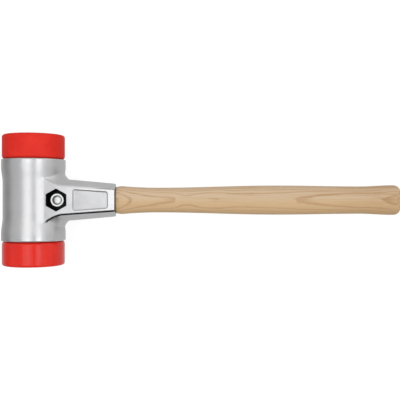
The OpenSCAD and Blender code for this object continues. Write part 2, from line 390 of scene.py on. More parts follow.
def carve(piece: Piece, tools: Sequence[Blank], cut: Cut = Cut.AWAY) -> None:
    """Cuts a piece with other meshes.

    Args:
        piece: The piece, whose mesh is replaced.
        tools: The meshes to cut with.
        cut: What each of them does.
    """
    cutters = [tool.piece(f"cutter_{i}") for i, tool in enumerate(tools)]
    for cutter in cutters:
        step = piece.modifiers.new("carve", "BOOLEAN")
        step.operation = cut.value
        step.solver = "MANIFOLD"
        step.object = cutter
    depsgraph = bpy.context.evaluated_depsgraph_get()
    carved = bpy.data.meshes.new_from_object(piece.evaluated_get(depsgraph))
    piece.modifiers.clear()
    old, piece.data = piece.data, carved
    carved.name = piece.name
    carved.materials.clear()
    clean(carved)
    bpy.data.meshes.remove(old)
    for cutter in cutters:
        mesh = cutter.data
        bpy.data.objects.remove(cutter)
        bpy.data.meshes.remove(mesh)


def read_mesh(items: Any, name: str, width: int = 1, kind: type = float) -> np.ndarray:
    """Reads one trait of all the points, corners or faces of a mesh.

    Args:
        items: The mesh's list of them.
        name: Blender's name for the trait.
        width: How many numbers it has.
        kind: Kind of number.

    Returns:
        The numbers, one row each where there are several.
    """
    values = np.empty(len(items) * width, kind)
    items.foreach_get(name, values)
    return values.reshape(-1, width) if width > 1 else values


def smooth(piece: Piece, angle: float = 32.0) -> None:
    """Shades a piece smooth, apart from edges sharper than an angle in degrees."""
    piece.data.shade_smooth()
    piece.data.set_sharp_from_angle(angle=math.radians(angle))


class NodeBoard:
    """A workbench for one node tree."""

    def __init__(self, tree: bpy.types.NodeTree) -> None:
        """Takes a tree and clears it."""
        self.tree = tree
        tree.nodes.clear()

    def put(
        self, kind: str, inputs: dict[str | int, Any] | None = None, **traits: Any
    ) -> bpy.types.Node:
        """Adds a node.

        Args:
            kind: Blender's name for the kind of node.
            inputs: Values or sockets for its inputs, by name or place.
            **traits: Settings of the node itself.

        Returns:
            The node.
        """
        node = self.tree.nodes.new(kind)
        for name, value in traits.items():
            setattr(node, name, value)
        for key, value in (inputs or {}).items():
            if isinstance(value, Socket):
                self.tree.links.new(value, node.inputs[key])
            else:
                node.inputs[key].default_value = value
        return node

    def calc(self, operation: str, *values: Any) -> Socket:
        """Adds one step of arithmetic and returns its result."""
        node = self.put("ShaderNodeMath", dict(enumerate(values)), operation=operation)
        return node.outputs[0]

    def product(self, first: Any, *others: Any) -> Socket:
        """Multiplies values.

        Args:
            first: One value.
            *others: The values to multiply it by.

        Returns:
            The product.
        """
        for other in others:
            first = self.calc("MULTIPLY", first, other)
        return first

    def length(self, first: Any, *others: Any) -> Socket:
        """Measures a line from its parts along square axes.

        Args:
            first: One part.
            *others: The other parts.

        Returns:
            The length.
        """
        total = self.calc("MULTIPLY", first, first)
        for other in others:
            total = self.calc("MULTIPLY_ADD", other, other, total)
        return self.calc("SQRT", total)

    def sway(self, base: Any, pattern: Socket, amount: Any) -> Socket:
        """Moves a value up and down by an amount, with a pattern round 0.5."""
        return self.calc("MULTIPLY_ADD", self.calc("SUBTRACT", pattern, 0.5), amount, base)

    def stretch(self, where: Socket, scale: Colour) -> Socket:
        """Scales a place, or a colour, by a factor for each axis."""
        inputs = {0: where, 1: scale}
        return self.put("ShaderNodeVectorMath", inputs, operation="MULTIPLY").outputs[0]

    def noise(
        self, where: Socket, scale: float, detail: float = 2.0, rough: float = 0.5
    ) -> Socket:
        """Adds a cloudy pattern.

        Args:
            where: Place to look it up at.
            scale: Patches for each unit of place.
            detail: Levels of finer patches.
            rough: Weight of the finer patches.

        Returns:
            A value round 0.5.
        """
        inputs = {"Vector": where, "Scale": scale, "Detail": detail, "Roughness": rough}
        return self.put("ShaderNodeTexNoise", inputs).outputs[0]

    def spread(
        self, value: Any, low: float, high: float, to_low: float = 0.0, to_high: float = 1.0
    ) -> Socket:
        """Maps a span of values smoothly onto another.

        Args:
            value: The value.
            low: Where the span starts.
            high: Where the span ends.
            to_low: Result at the start and before it.
            to_high: Result at the end and past it.

        Returns:
            The mapped value.
        """
        inputs = {0: value, 1: low, 2: high, 3: to_low, 4: to_high}
        return self.put("ShaderNodeMapRange", inputs, interpolation_type="SMOOTHSTEP").outputs[0]

    def vary(self, pattern: Socket, low: float = 0.0, high: float = 1.0) -> Socket:
        """Maps the span where most of a cloudy pattern lies onto another."""
        return self.spread(pattern, *MOST_OF_NOISE, low, high)

    def fade(self, value: Any, low: float, high: float) -> Socket:
        """Goes smoothly from 1 to 0 over a span of values."""
        return self.spread(value, low, high, 1.0, 0.0)

    def tint(self, share: Socket, first: Any, second: Any) -> Socket:
        """Goes from one colour to another by a share.

        Args:
            share: The share, from 0 to 1.
            first: Colour at 0, as three numbers or a socket.
            second: Colour at 1.

        Returns:
            The colour.
        """
        ends = [c if isinstance(c, Socket) else (*c, 1.0) for c in (first, second)]
        inputs = {0: share, 6: ends[0], 7: ends[1]}
        return self.put("ShaderNodeMix", inputs, data_type="RGBA").outputs[2]

    def bump(self, height: Socket, distance: float) -> Socket:
        """Turns a height pattern into a normal.

        Args:
            height: The pattern.
            distance: Height of its full range, in metres.

        Returns:
            The normal.
        """
        inputs = {"Height": height, "Distance": distance, "Strength": 1.0}
        return self.put("ShaderNodeBump", inputs).outputs[0]

    def axes(self, where: Socket) -> tuple[Socket, ...]:
        """Splits a place into X, Y and Z."""
        return tuple(self.put("ShaderNodeSeparateXYZ", {0: where}).outputs)

    def place(self, x: Any, y: Any, z: Any) -> Socket:
        """Joins X, Y and Z into a place."""
        return self.put("ShaderNodeCombineXYZ", {0: x, 1: y, 2: z}).outputs[0]


@dataclass(frozen=True)
class Look:
    """The sockets that vary over a surface."""

    colour: Socket
    roughness: Socket
    normal: Socket


@dataclass(frozen=True)
class Finish:
    """A surface of the hammer. Its numbers are the same all over the surface."""

    name: str
    metallic: float = 0.0
    specular: float = 0.5

    def material(self) -> bpy.types.Material:
        """Makes the finish.

        Returns:
            The node material.
        """
        made = bpy.data.materials.new(self.name)
        made.use_nodes = True
        board = NodeBoard(made.node_tree)
        lay = {"Location": LAY.translation, "Rotation": LAY.to_euler()}
        on_table = {"Vector": board.put("ShaderNodeTexCoord").outputs["Object"], **lay}
        where = board.put("ShaderNodeMapping", on_table, vector_type="TEXTURE").outputs[0]
        look = self.paint(board, where)
        shader = board.put(
            "ShaderNodeBsdfPrincipled",
            {
                "Base Color": look.colour,
                "Roughness": look.roughness,
                "Normal": look.normal,
                "Metallic": self.metallic,
                "Specular IOR Level": self.specular,
            },
        )
        board.put("ShaderNodeOutputMaterial", {"Surface": shader.outputs[0]})
        return made

    def paint(self, board: NodeBoard, where: Socket) -> Look:
        """Paints what varies over the surface.

        Args:
            board: Workbench of the material.
            where: Place in the hammer's frame, in metres.

        Returns:
            The sockets for colour, roughness and normal.
        """
        raise NotImplementedError


@dataclass(frozen=True)
class CastMetal(Finish):
    """Cast light metal, with a cloudy tone and a fine grain.

    The flat of the neck is painted brighter than the rest as painted light, the walls of its panel
    are painted darker as painted shade, the rims and the flat's edges are polished, and the flat's
    lower edge holds a painted dark line of shade.
    """

    metallic: float = 1.0
    dark: Colour = (0.487, 0.488, 0.496)
    pale: Colour = (0.557, 0.558, 0.564)
    smoothest: float = 0.28
    roughest: float = 0.36
    rim_at: Span = (0.042, 0.053)
    rim_polish: float = 0.08
    edge_depth: float = 0.0034
    edge_polish: float = 0.14
    polished_grain: float = 0.2
    grain: float = 0.000012
    # painted light: colour factor that makes the flat brighter, and the panel floor's share of it
    flat_painted_light: float = 1.0
    panel_light_share: float = 0.33
    # painted shade: colour factor that darkens the panel's walls
    wall_painted_shade: float = 1.0
    # painted shade: depth, side and colour factor of a dark line on the flat's lower edge
    shade_line_depth: float = 0.0020
    shade_line_below: Span = (-0.004, -0.001)
    edge_shade_line: float = 1.0
    wall_foot: Span = (-0.00115, -0.00095)
    wall_top: Span = (-0.0004, -0.0001)
    wall_aside: Span = (0.0150, 0.0155)
    wall_from: Span = (0.050, 0.052)
    edge_top: Span = (-0.0003, -0.0001)
    edge_inner: Span = (-0.003, -0.002)
    edge_outer: Span = (0.0068, 0.0085)
    edge_from: Span = (0.019, 0.024)
    edge_soft: float = 0.75
    floor_at: Span = (-0.0022, -0.0014)
    flat_at: Span = (-0.0010, -0.0004)
    flat_from: Span = (0.018, 0.060)
    flat_aside: Span = (0.024, 0.030)

    def paint(self, board: NodeBoard, where: Socket) -> Look:
        """Paints the cloudy tone, the fine grain and the polish of the casting, with painted light
        and shade on the neck.

        Args:
            board: Workbench of the material.
            where: Place in the hammer's frame, in metres.

        Returns:
            The sockets for colour, roughness and normal.
        """
        clouds = board.noise(where, 45.0, 4.0, 0.6)
        grain = board.noise(where, 1400.0, 3.0, 0.6)
        polish = board.noise(board.stretch(where, (1600.0, 90.0, 1600.0)), 1.0, 2.0)
        _, y, _ = board.axes(where)
        tone = board.calc("MULTIPLY_ADD", grain, 0.35, board.product(clouds, 0.65))
        colour = board.tint(board.vary(tone), self.dark, self.pale)
        # painted shade: a dark line along the lower edge of the flat
        lower = board.fade(y, *self.shade_line_below)
        shade_line = board.product(self.on_edge(board, where, self.shade_line_depth), lower)
        for share, lift in (
            # painted light: the flat is made brighter
            (self.on_flat(board, where), self.flat_painted_light),
            # painted shade: the panel's walls are made darker
            (self.on_panel_wall(board, where), self.wall_painted_shade),
            # painted shade: the dark line on the flat's lower edge
            (shade_line, self.edge_shade_line),
        ):
            colour = board.tint(share, colour, board.stretch(colour, (lift, lift, lift)))
        wear = board.calc("MULTIPLY_ADD", polish, 0.5, board.product(clouds, 0.5))
        roughness = board.vary(wear, self.smoothest, self.roughest)
        rim = board.spread(board.calc("ABSOLUTE", y), *self.rim_at)
        edge = self.on_edge(board, where, self.edge_depth)
        for share, less in ((rim, self.rim_polish), (edge, self.edge_polish)):
            roughness = board.calc("MULTIPLY_ADD", share, -less, roughness)
        polished = board.calc("MAXIMUM", rim, edge)
        kept = board.calc("MULTIPLY_ADD", polished, self.polished_grain - 1, 1.0)
        height = board.product(board.calc("MULTIPLY_ADD", polish, 0.4, grain), kept)
        return Look(colour, roughness, board.bump(height, self.grain))

    def by_flat(self, board: NodeBoard, where: Socket) -> tuple[Socket, ...]:
        """Measures a place against the flat of the neck.

        Args:
            board: Workbench of the material.
            where: Place in the hammer's frame, in metres.

        Returns:
            The distances along the neck and from its middle, and the height over the flat.
        """
        form = CastForm()
        x, y, z = board.axes(where)
        rise = board.calc("MULTIPLY_ADD", x, form.flat_fall(), board.calc("ABSOLUTE", z))
        return x, board.calc("ABSOLUTE", y), board.calc("SUBTRACT", rise, form.flat_z(0.0) * MM)

    def on_panel_wall(self, board: NodeBoard, where: Socket) -> Socket:
        """Marks the walls of the panel, where shade is painted into the colour.

        Args:
            board: Workbench of the material.
            where: Place in the hammer's frame, in metres.

        Returns:
            A share from 0, off the walls, to 1.
        """
        x, aside, height = self.by_flat(board, where)
        return board.product(
            board.spread(height, *self.wall_foot),
            board.fade(height, *self.wall_top),
            board.fade(aside, *self.wall_aside),
            board.spread(x, *self.wall_from),
        )

    def on_edge(self, board: NodeBoard, where: Socket, depth: float) -> Socket:
        """Marks the rounded edges of the flat.

        Args:
            board: Workbench of the material.
            where: Place in the hammer's frame, in metres.
            depth: How far below the flat the mark reaches, in metres.

        Returns:
            A share from 0, off the edges, to 1.
        """
        form = CastForm()
        x, aside, height = self.by_flat(board, where)
        start = form.flat_half_w(0.0)
        border = board.calc("MULTIPLY_ADD", x, form.flat_half_w(1.0) - start, start * MM)
        beyond = board.calc("SUBTRACT", aside, border)
        return board.product(
            board.spread(height, -depth, -self.edge_soft * depth),
            board.fade(height, *self.edge_top),
            board.spread(beyond, *self.edge_inner),
            board.fade(beyond, *self.edge_outer),
            board.spread(x, *self.edge_from),
        )

    def on_flat(self, board: NodeBoard, where: Socket) -> Socket:
        """Marks the flat of the neck and the panel in it, where light is painted into the colour.

        Args:
            board: Workbench of the material.
            where: Place in the hammer's frame, in metres.

        Returns:
            A share from 0, off the flat, to 1.
        """
        x, aside, height = self.by_flat(board, where)
        floor = board.spread(height, *self.floor_at, 0.0, self.panel_light_share)
        return board.product(
            board.calc("MAXIMUM", floor, board.spread(height, *self.flat_at)),
            board.spread(x, *self.flat_from),
            board.fade(aside, *self.flat_aside),
        )


@dataclass(frozen=True)
class FacePlastic(Finish):
    """Red plastic of the striking faces, turned and a little scuffed."""

    specular: float = 0.24
    red: Colour = (0.745, 0.022, 0.010)
    deep: Colour = (0.685, 0.015, 0.007)
    scuffed: Colour = (0.73, 0.05, 0.032)
    smoothest: float = 0.5
    roughest: float = 0.6
    rim_at: Span = (0.1203, 0.1243)
    relief: float = 0.00002

    def paint(self, board: NodeBoard, where: Socket) -> Look:
        """Paints the turning lines round the head axis and the scuffs of use.

        Args:
            board: Workbench of the material.
            where: Place in the hammer's frame, in metres.

        Returns:
            The sockets for colour, roughness and normal.
        """
        x, y, z = board.axes(where)
        radius = board.length(x, z)
        lines = board.noise(board.place(radius, y, 0.0), 2600.0, 2.0)
        clouds = board.noise(where, 60.0, 4.0, 0.6)
        scuffs = board.spread(board.noise(where, 420.0, 5.0, 0.7), 0.56, 0.72)
        rim = board.spread(board.calc("ADD", radius, board.calc("ABSOLUTE", y)), *self.rim_at)
        worn = board.product(scuffs, board.calc("MULTIPLY_ADD", rim, 0.6, 0.25))
        plain = board.tint(board.vary(clouds), self.deep, self.red)
        colour = board.tint(worn, plain, self.scuffed)
        roughness = board.vary(lines, self.smoothest, self.roughest)
        roughness = board.calc("MULTIPLY_ADD", worn, 0.15, roughness)
        height = board.calc("SUBTRACT", board.product(lines, 0.5), board.product(worn, 0.4))
        return Look(colour, roughness, board.bump(height, self.relief))


@dataclass(frozen=True)
class AshWood(Finish):
    """Ash, sawn so that its year rings run out in long arches along the handle.

    The drift says how many millimetres the rings lie off at places along the handle, in metres.
    """

    specular: float = 0.35
    # painted light: pale is the lit copy of the wood for the handle's upper half, the next colour
    # the shaded copy for its lower half
    pale: Colour = (0.620, 0.458, 0.298)
    shaded_yellow: Colour = (0.608, 0.418, 0.226)
    tan: Colour = (0.46, 0.28, 0.14)
    pore: Colour = (0.36, 0.22, 0.11)
    smoothest: float = 0.42
    roughest: float = 0.55
    relief: float = 0.00005
    painted_light_above: Span = (-0.005, 0.005)
    darker_from: Span = (0.33, 0.46)
    darker: float = 0.28
    early_share: float = 0.72
    plank_share: float = 0.5
    line_share: Span = (0.8, 2.0)
    pore_share: float = 0.55
    ring_width: float = 0.0015
    heart_y: float = 0.0015
    heart_depth: float = 0.040
    ring_shift: float = 0.0006
    arch_slope: float = 0.07
    arch_tip: float = 0.0013
    wander: float = 0.0008
    ripple: float = 0.0003
    drift_reach: float = 0.5
    drift_most: float = 3.0
    drift: tuple[Span, ...] = (
        (0.0, 1.9), (0.107, 1.75), (0.115, 0.8), (0.129, 0.62), (0.155, 0.45), (0.183, -0.16),
        (0.203, -1.38), (0.223, -1.07), (0.265, -2.4), (0.300, -2.75), (0.321, -2.7),
        (0.350, -2.1), (0.400, -0.75), (0.432, -0.2), (0.466, -1.2), (0.488, -1.1),
    )

    def rings(self, board: NodeBoard, where: Socket) -> Socket:
        """Finds how far through its year ring each place lies.

        Args:
            board: Workbench of the material.
            where: Place in the hammer's frame, in metres.

        Returns:
            A share from 0, at the start of a ring, to 1.
        """
        x, y, z = board.axes(where)
        along = board.calc("DIVIDE", x, self.drift_reach)
        curve = board.put("ShaderNodeFloatCurve", {"Value": along})
        points = curve.mapping.curves[0].points
        for i, (at, offset) in enumerate(self.drift):
            spot = (at / self.drift_reach, (offset / self.drift_most + 1) / 2)
            if i < 2:
                points[i].location = spot
            else:
                points.new(*spot)
        curve.mapping.update()
        aside = board.calc("SUBTRACT", y, self.heart_y)
        radius = board.length(aside, board.calc("ADD", z, self.heart_depth))
        radius = board.calc("ADD", radius, self.ring_shift)
        flank = board.calc("SUBTRACT", board.length(aside, self.arch_tip), self.arch_tip)
        radius = board.calc("MULTIPLY_ADD", flank, -self.arch_slope, radius)
        wander = board.noise(board.stretch(where, (9.0, 60.0, 60.0)), 1.0, 2.0)
        ripple = board.noise(board.stretch(where, (60.0, 260.0, 260.0)), 1.0, 2.0)
        radius = board.sway(radius, curve.outputs[0], 2 * self.drift_most * MM)
        radius = board.sway(radius, wander, self.wander)
        radius = board.sway(radius, ripple, self.ripple)
        return board.calc("FRACT", board.calc("DIVIDE", radius, self.ring_width))

    def paint(self, board: NodeBoard, where: Socket) -> Look:
        """Paints the year rings, their open pores, the fine fibre and painted light on the upper
        half.

        Args:
            board: Workbench of the material.
            where: Place in the hammer's frame, in metres.

        Returns:
            The sockets for colour, roughness and normal.
        """
        x, y, _ = board.axes(where)
        ring = self.rings(board, where)
        early = board.calc("MAXIMUM", board.fade(ring, 0.0, 0.3), board.spread(ring, 0.9, 1.0))
        fibre = board.noise(board.stretch(where, (30.0, 1500.0, 1500.0)), 1.0, 3.0, 0.6)
        flecks = board.noise(board.stretch(where, (120.0, 3600.0, 3600.0)), 1.0, 1.0)
        plank = board.noise(board.stretch(where, (7.0, 50.0, 50.0)), 1.0, 2.0)
        lines = board.noise(board.stretch(where, (5.0, 520.0, 520.0)), 1.0, 2.0)
        pores = board.spread(flecks, 0.55, 0.7)
        pores = board.product(pores, board.calc("MULTIPLY_ADD", early, 0.8, 0.1))
        above = board.spread(y, *self.painted_light_above)
        share = board.sway(board.product(early, self.early_share), fibre, 1.0)
        share = board.sway(share, plank, self.plank_share)
        share = board.sway(share, lines, board.spread(above, 0.0, 1.0, *self.line_share))
        share = board.calc("ADD", share, board.spread(x, *self.darker_from, 0.0, self.darker))
        share = board.calc("MINIMUM", board.calc("MAXIMUM", share, 0.0), 1.0)
        # painted light: the upper half of the handle is painted paler than the lower half
        wood = board.tint(share, board.tint(above, self.shaded_yellow, self.pale), self.tan)
        colour = board.tint(board.product(pores, self.pore_share), wood, self.pore)
        roughness = board.vary(fibre, self.smoothest, self.roughest)
        roughness = board.calc("MULTIPLY_ADD", pores, 0.2, roughness)
        height = board.calc("SUBTRACT", board.product(fibre, 0.4), pores)
        return Look(colour, roughness, board.bump(height, self.relief))


@dataclass(frozen=True)
class TurnedSteel(Finish):
    """Plated or blackened steel, with lines from turning round the screw."""

    metallic: float = 1.0
    pale: Colour = (0.58, 0.585, 0.59)
    dark: Colour = (0.47, 0.475, 0.48)
    smoothest: float = 0.2
    roughest: float = 0.34
    axis_x: float = 0.0342
    head_top: float = 0.02385
    # painted shade: a dark ring in the key socket near its walls, with its depths, radii and
    # colour
    socket_shade: float = 0.0
    socket_shade_top: Span = (0.0006, 0.0016)
    socket_shade_floor: Span = (0.0066, 0.0072)
    socket_shade_inner: Span = (0.0028, 0.0054)
    socket_shade_outer: Span = (0.0060, 0.0066)
    socket_shade_colour: Colour = (0.03, 0.03, 0.03)
    relief: float = 0.00001

    def paint(self, board: NodeBoard, where: Socket) -> Look:
        """Paints the turning lines, the patchy plating and painted shade in the socket.

        Args:
            board: Workbench of the material.
            where: Place in the hammer's frame, in metres.

        Returns:
            The sockets for colour, roughness and normal.
        """
        x, y, z = board.axes(where)
        radius = board.length(board.calc("SUBTRACT", x, self.axis_x), y)
        depth = board.calc("SUBTRACT", self.head_top, z)
        lines = board.noise(board.place(radius, z, 0.0), 4000.0, 2.0)
        patches = board.noise(where, 260.0, 4.0, 0.6)
        colour = board.tint(board.vary(patches), self.dark, self.pale)
        # painted shade: the socket is darkened near its walls
        socket_shade = board.product(
            board.spread(depth, *self.socket_shade_top),
            board.fade(depth, *self.socket_shade_floor),
            board.spread(radius, *self.socket_shade_inner),
            board.fade(radius, *self.socket_shade_outer),
            self.socket_shade,
        )
        colour = board.tint(socket_shade, colour, self.socket_shade_colour)
        share = board.calc("MULTIPLY_ADD", lines, 0.5, board.product(patches, 0.5))
        roughness = board.vary(share, self.smoothest, self.roughest)
        return Look(colour, roughness, board.bump(lines, self.relief))


@dataclass(frozen=True)
class RingPlastic(Finish):
    """Moulded plastic of the locking ring."""

    blue: Colour = (0.20, 0.32, 0.50)
    light: Colour = (0.25, 0.38, 0.56)
    smoothest: float = 0.45
    roughest: float = 0.6
    relief: float = 0.00002

    def paint(self, board: NodeBoard, where: Socket) -> Look:
        """Paints the faint cloud and the matt grain of the moulding.

        Args:
            board: Workbench of the material.
            where: Place in the hammer's frame, in metres.

        Returns:
            The sockets for colour, roughness and normal.
        """
        grain = board.noise(where, 2500.0, 3.0)
        clouds = board.noise(where, 300.0, 2.0)
        colour = board.tint(board.vary(clouds), self.blue, self.light)
        roughness = board.vary(grain, self.smoothest, self.roughest)
        return Look(colour, roughness, board.bump(grain, self.relief))


# The outside carries painted light on the flat, painted shade on the panel walls and a painted
# shade line on the flat's lower edge.
OUTSIDE = CastMetal("tumbled_casting", flat_painted_light=1.34, wall_painted_shade=0.55, edge_shade_line=0.05)
# painted shade: the hex pocket's faces are near-black and unreflecting, standing in for the shade
# inside it
POCKET_SHADE = CastMetal(
    "painted_pocket_shade",
    metallic=0.0,
    specular=0.0,
    dark=(0.009, 0.008, 0.007),
    pale=(0.017, 0.015, 0.013),
    smoothest=0.5,
    roughest=0.65,
)
INSIDE = CastMetal(
    "raw_casting",
    dark=(0.30, 0.30, 0.30),
    pale=(0.40, 0.40, 0.395),
    smoothest=0.45,
    roughest=0.6,
    grain=0.00008,
)
RED_FACES = {
    End.UPPER: FacePlastic("matt_red_plastic"),
    End.LOWER: FacePlastic(
        "polished_red_plastic",
        specular=0.4,
        red=(0.755, 0.014, 0.003),
        deep=(0.695, 0.009, 0.002),
        smoothest=0.14,
        roughest=0.2,
    ),
}
ASH = AshWood("oiled_ash")
ZINC = TurnedSteel("zinc_plated_steel", socket_shade=0.8)
BLACKED = TurnedSteel(
    "black_washer_steel",
    pale=(0.03, 0.03, 0.03),
    dark=(0.015, 0.015, 0.015),
    smoothest=0.4,
    roughest=0.55,
)
BLUE_RING = RingPlastic("locking_ring_plastic")


def fit(
    piece: Piece, body: str, node: str, finishes: Sequence[Finish]
) -> Piece:
    """Lays a piece on the table with the hammer, dresses it and hands it to its body.

    Args:
        piece: The piece, in the hammer's own frame.
        body: Body that carries it.
        node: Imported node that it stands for.
        finishes: Its finishes, in the order that its faces number them.

    Returns:
        The piece.
    """
    piece.data.transform(LAY)
    for finish in finishes:
        known = bpy.data.materials.get(finish.name)
        piece.data.materials.append(known or finish.material())
    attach(piece, body)
    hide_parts(node)
    LOG.info("%s: %d faces, on %s", piece.name, len(piece.data.polygons), body)
    return piece


@dataclass(frozen=True)
class CastForm:
    """Outside of one cast shell above the split: the barrel, the neck and its flat."""

    barrel_d: float = 82.0
    waist_d: float = 78.0
    barrel_len: float = 106.0
    waist_len: float = 44.0
    rim_band: float = 9.0
    rim_r: float = 1.8
    split_gap: float = 1.6
    split_edge_r: float = 0.7
    neck_reach: float = 107.0
    neck_w_root: float = 55.6
    neck_w_end: float = 44.2
    flat_w_root: float = 39.4
    flat_w_end: float = 30.4
    neck_t_end: float = 40.0
    root_fillet_r: float = 7.0
    flat_at: float = 17.8
    flat_fillet_r: float = 32.0
    flat_turn: float = 43.0
    flat_edge_r: float = 2.6
    tip_edge_r: float = 1.1
    neck_end_r: float = 1.6
    neck_start: float = 8.0
    neck_spare: float = 4.0
    fillet_spare: float = 2.0
    wall_sink: float = 0.8
    cast_blend: float = 1.0
    net_spare: float = 2.0
    net_floor: float = -1.0
    least_slope: float = 0.2
    settling: int = 4

    def flat_fall(self) -> float:
        """Returns how much the flat falls for each millimetre along the neck."""
        start = math.sqrt((self.waist_d / 2) ** 2 - self.flat_at**2)
        return (start - self.neck_t_end / 2) / (self.neck_reach - self.flat_at)

    def flat_z(self, x: Any) -> Any:
        """Returns the height of the flat at a place along the neck."""
        return self.neck_t_end / 2 + self.flat_fall() * (self.neck_reach - x)

    def flat_half_w(self, x: Any) -> Any:
        """Returns half the width of the flat, without its fillets."""
        half = self.barrel_d / 2
        return mix(self.flat_w_root, self.flat_w_end, (x - half) / (self.neck_reach - half)) / 2

    def barrel_r(self, y: Any) -> Any:
        """Returns the radius of the barrel at a distance from its middle."""
        start, stop = self.waist_len / 2, self.barrel_len / 2 - self.rim_band
        return mix(self.waist_d, self.barrel_d, ease((np.abs(y) - start) / (stop - start))) / 2

    def wall_x(self, share: np.ndarray, reach: np.ndarray, edge_drop: np.ndarray) -> np.ndarray:
        """Finds where the side of the neck leaves the barrel.

        Args:
            share: Level up the side, from 0 at the split to 1 at the flat.
            reach: Half width of the neck and its fillet at that level.
            edge_drop: How far the rounded edge stops the side short of the flat.

        Returns:
            Distance from the head axis.
        """
        fall = self.flat_fall()
        start = self.flat_z(0.0) - edge_drop
        r = self.barrel_r(reach) - self.wall_sink
        p = 1 + (share * fall) ** 2
        q = share**2 * start * fall
        return (np.sqrt(np.maximum(q * q - p * ((share * start) ** 2 - r * r), 0)) + q) / p

    def barrel(self, x: np.ndarray, y: np.ndarray, z: np.ndarray) -> np.ndarray:
        """Returns signed distances from the barrel."""
        side = np.hypot(x, z) - self.barrel_r(y)
        return round_over(side, np.abs(y) - self.barrel_len / 2, self.rim_r)

    def neck(self, x: np.ndarray, y: np.ndarray, z: np.ndarray) -> np.ndarray:
        """Returns signed distances from the neck, with its draft, fillets and flat.

        Args:
            x: Places along the handle.
            y: Places along the head.
            z: Heights over the split.

        Returns:
            One distance for each place, negative inside.
        """
        half = self.barrel_d / 2
        draft = math.atan((self.neck_w_end - self.flat_w_end) / self.neck_t_end)
        from_tip = ease((x - self.flat_at) / (half - self.flat_at))
        edge_r = mix(self.tip_edge_r, self.flat_edge_r, from_tip)
        edge_drop = edge_r * (1 - math.sin(draft))
        top = self.flat_z(x)
        rise = np.maximum(z, 0) / (top - edge_drop)
        share = np.minimum(rise, 1)
        foot_w = mix(self.neck_w_root, self.neck_w_end, (x - half) / (self.neck_reach - half)) / 2
        half_w = mix(foot_w, self.flat_half_w(x), rise)
        r = mix(self.root_fillet_r, self.flat_fillet_r, share)
        leave = np.radians((90 - self.flat_turn) * share)
        root_w = mix(self.neck_w_root, self.flat_w_root, share) / 2
        spread_w = root_w + r * (1 - np.sin(leave))
        wall = self.wall_x(share, spread_w, edge_drop)
        ahead = np.maximum(wall + r * np.cos(leave) - x, 0)
        aside = half_w + r - np.abs(y)
        past = np.maximum(r - ahead, -aside - self.fillet_spare)
        side = np.where(aside > 0, r - np.hypot(ahead, aside), past)
        over = (z - top) * math.cos(math.atan(self.flat_fall()))
        neck = round_over(side * math.cos(draft), over, edge_r)
        neck = round_over(neck, x - self.neck_reach, self.neck_end_r)
        limit = np.maximum(self.neck_start - x, np.abs(y) - spread_w - self.neck_spare)
        return np.maximum(neck, limit)

    def distance(self, places: np.ndarray) -> np.ndarray:
        """Measures how far places lie from the shell's outside.

        Args:
            places: Points, with their coordinates in the last axis.

        Returns:
            One distance for each place, negative inside.
        """
        x, y, z = places[..., 0], places[..., 1], places[..., 2]
        whole = fillet_in(self.barrel(x, y, z), self.neck(x, y, z), self.cast_blend)
        return round_over(whole, self.split_gap / 2 - z, self.split_edge_r)

    def slope(self, places: np.ndarray, reach: float = 0.02) -> np.ndarray:
        """Measures how the distance changes along each axis.

        Args:
            places: Points, one row each.
            reach: Length of the step that measures it.

        Returns:
            The gradient at each point.
        """
        steps = np.eye(3) * reach
        rises = [self.distance(places + s) - self.distance(places - s) for s in steps]
        return np.stack(rises, axis=-1) / (2 * reach)

    def normals(self, places: np.ndarray) -> np.ndarray:
        """Returns the outward normals at points on the shell."""
        slope = self.slope(places)
        return slope / np.maximum(np.linalg.norm(slope, axis=-1, keepdims=True), 1e-9)

    def skin(self, step: float) -> Blank:
        """Skins the shell's outside with an even net of faces.

        Args:
            step: Spacing of the net.

        Returns:
            The closed mesh, each point of which lies on the surface.
        """
        half, end = (size / 2 + self.net_spare for size in (self.barrel_d, self.barrel_len))
        room = ((-half, self.neck_reach + self.net_spare), (-end, end), (self.net_floor, half))
        axes = [low + step * np.arange(int((high - low) / step) + 2) for low, high in room]
        value = self.distance(np.stack(np.meshgrid(*axes, indexing="ij"), axis=-1))
        cells = tuple(n - 1 for n in value.shape)
        total = np.zeros((math.prod(cells), 3))
        crossings = np.zeros(math.prod(cells))
        quads = []
        for axis in range(3):
            b, c = (axis + 1) % 3, (axis + 2) % 3
            inside = np.moveaxis(value < 0, axis, 0)
            found = np.argwhere(inside[:-1] != inside[1:])
            order = [axis] + [k for k in range(3) if k != axis]
            place = np.empty_like(found)
            place[:, order] = found
            after = place.copy()
            after[:, axis] += 1
            start, stop = value[tuple(place.T)], value[tuple(after.T)]
            spot = place.astype(float)
            spot[:, axis] += start / (start - stop)
            ring = []
            for step_b, step_c in ((-1, -1), (0, -1), (0, 0), (-1, 0)):
                cell = place.copy()
                cell[:, b] += step_b
                cell[:, c] += step_c
                ring.append(np.ravel_multi_index(tuple(cell.T), cells))
                np.add.at(total, ring[-1], spot)
                np.add.at(crossings, ring[-1], 1)
            quad = np.stack(ring, axis=1)
            quads.append(np.where((start < 0)[:, None], quad, quad[:, ::-1]))
        used = np.flatnonzero(crossings)
        number = np.full(len(crossings), -1)
        number[used] = np.arange(len(used))
        points = total[used] / crossings[used, None] * step + [a[0] for a in axes]
        for _ in range(self.settling):
            slope = self.slope(points)
            off = self.distance(points) / np.maximum((slope**2).sum(axis=1), self.least_slope)
            points = points - slope * off[:, None]
        return Blank(points, number[np.concatenate(quads)].tolist())


